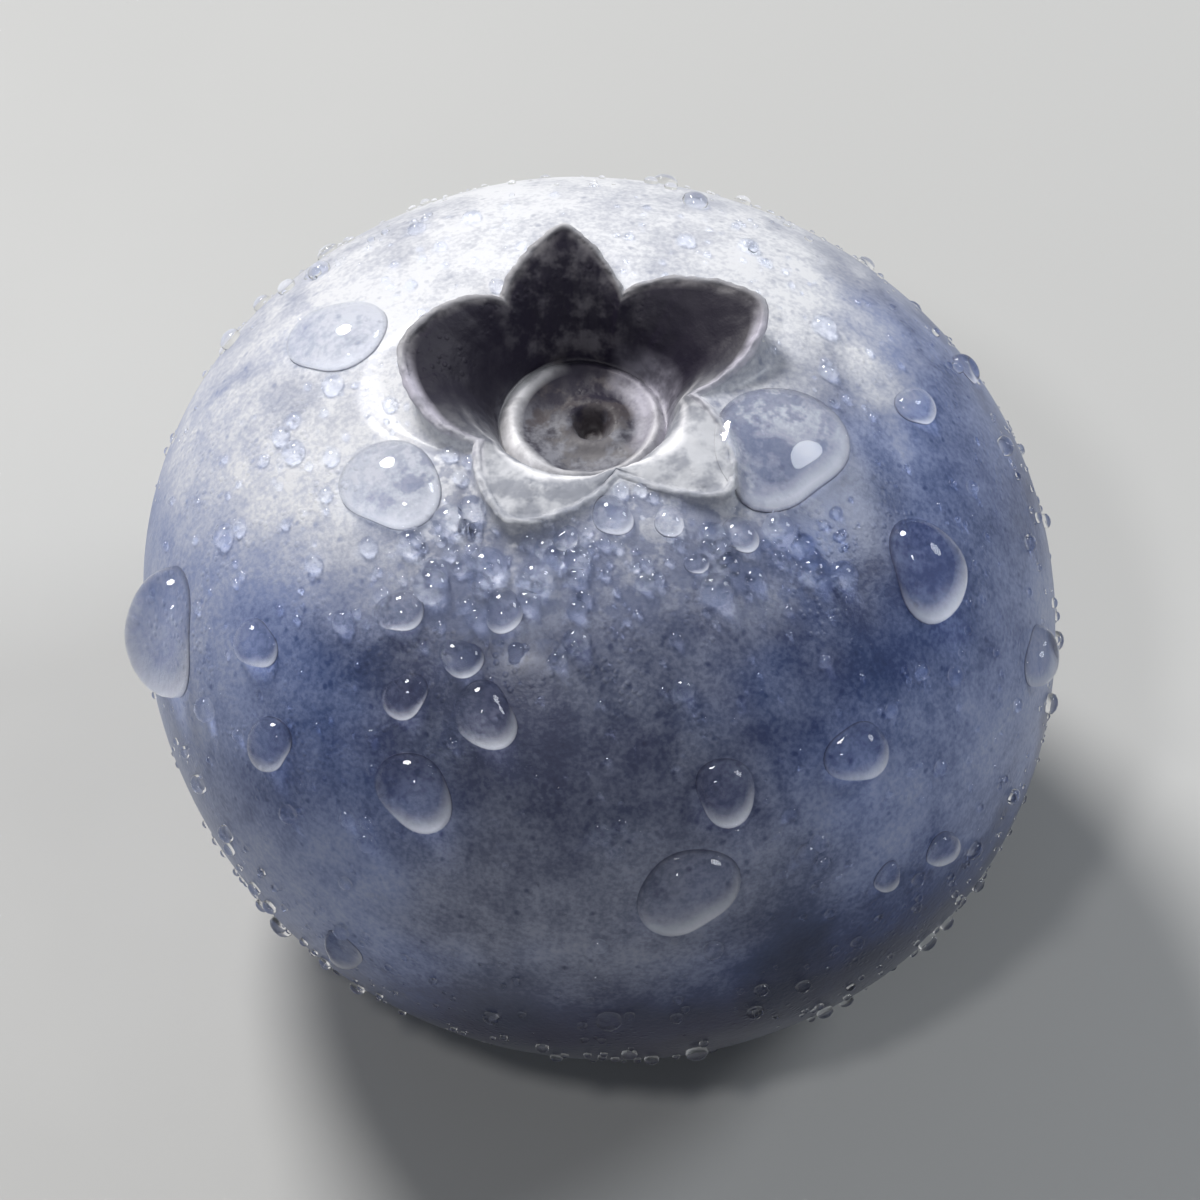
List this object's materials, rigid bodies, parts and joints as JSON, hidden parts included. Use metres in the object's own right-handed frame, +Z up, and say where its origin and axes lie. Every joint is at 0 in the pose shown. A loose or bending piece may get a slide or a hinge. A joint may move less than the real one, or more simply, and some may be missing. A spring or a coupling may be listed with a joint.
{
  "type": "blueberry",
  "caption": "Round ripe blueberry with a waxy bloom and a star-shaped crown of pointed lobes on top. It rests on its stem end.",
  "frame": {"origin": "on the surface that the berry stands on, under the middle of the berry", "axes": "+Z up through the crown, +X and +Y across the berry; the crown's tallest lobe points near +Y"},
  "size_m": [0.0181, 0.0179, 0.0156],
  "materials": {
    "skin": "dark blue skin under a dusty, pale blue waxy bloom"
  },
  "bodies": {
    "root": {"blueberry": "skin"}
  },
  "joints": []
}
